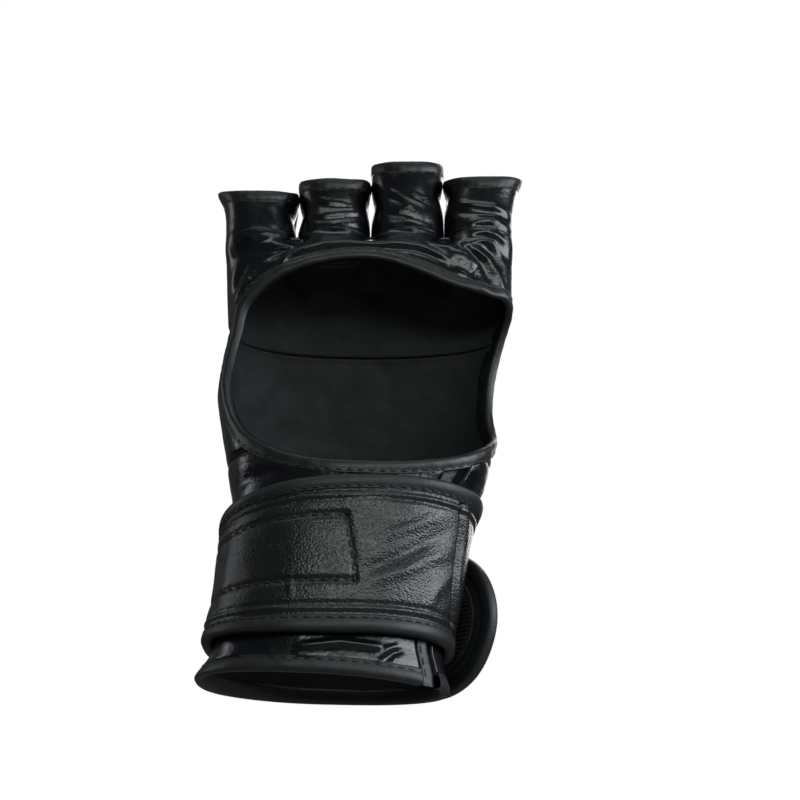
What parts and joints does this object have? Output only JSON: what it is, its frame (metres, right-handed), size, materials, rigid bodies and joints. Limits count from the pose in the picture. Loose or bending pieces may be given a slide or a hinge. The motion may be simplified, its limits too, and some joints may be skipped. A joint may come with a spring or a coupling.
{
  "type": "mma glove",
  "caption": "Open-palm grappling glove for a right hand: padded leather shell with short finger loops, a wide palm and thumb opening and a wraparound wrist strap with a free flap.",
  "frame": {"origin": "centre of the wrist opening at the mouth of the cuff", "axes": "+Z along the forearm towards the fingers, palm towards -Y, thumb side towards +X"},
  "size_m": [0.113, 0.0678, 0.2045],
  "materials": {
    "leather": "black smooth leather with soft gloss, creased and finely grained",
    "strap_leather": "black leather with a broader gloss and open grain",
    "binding": "folded black leather binding with a row of black stitches",
    "hook": "matte black hook tape"
  },
  "bodies": {
    "root": {"cuff": "leather", "cuff_hem": "binding", "slit_tape": "binding", "hand_back": "leather", "knuckle_back": "leather", "palm_band": "leather", "palm_tape": "binding", "heel_tape": "binding", "hand_pad": "leather", "knuckle_pad": "leather", "little_loop": "leather", "little_rim": "binding", "little_pad": "leather", "ring_loop": "leather", "ring_rim": "binding", "ring_pad": "leather", "middle_loop": "leather", "middle_rim": "binding", "middle_pad": "leather", "index_loop": "leather", "index_rim": "binding", "index_pad": "leather", "strap": "strap_leather", "strap_tape": "binding", "hook_patch": "hook"}
  },
  "joints": []
}
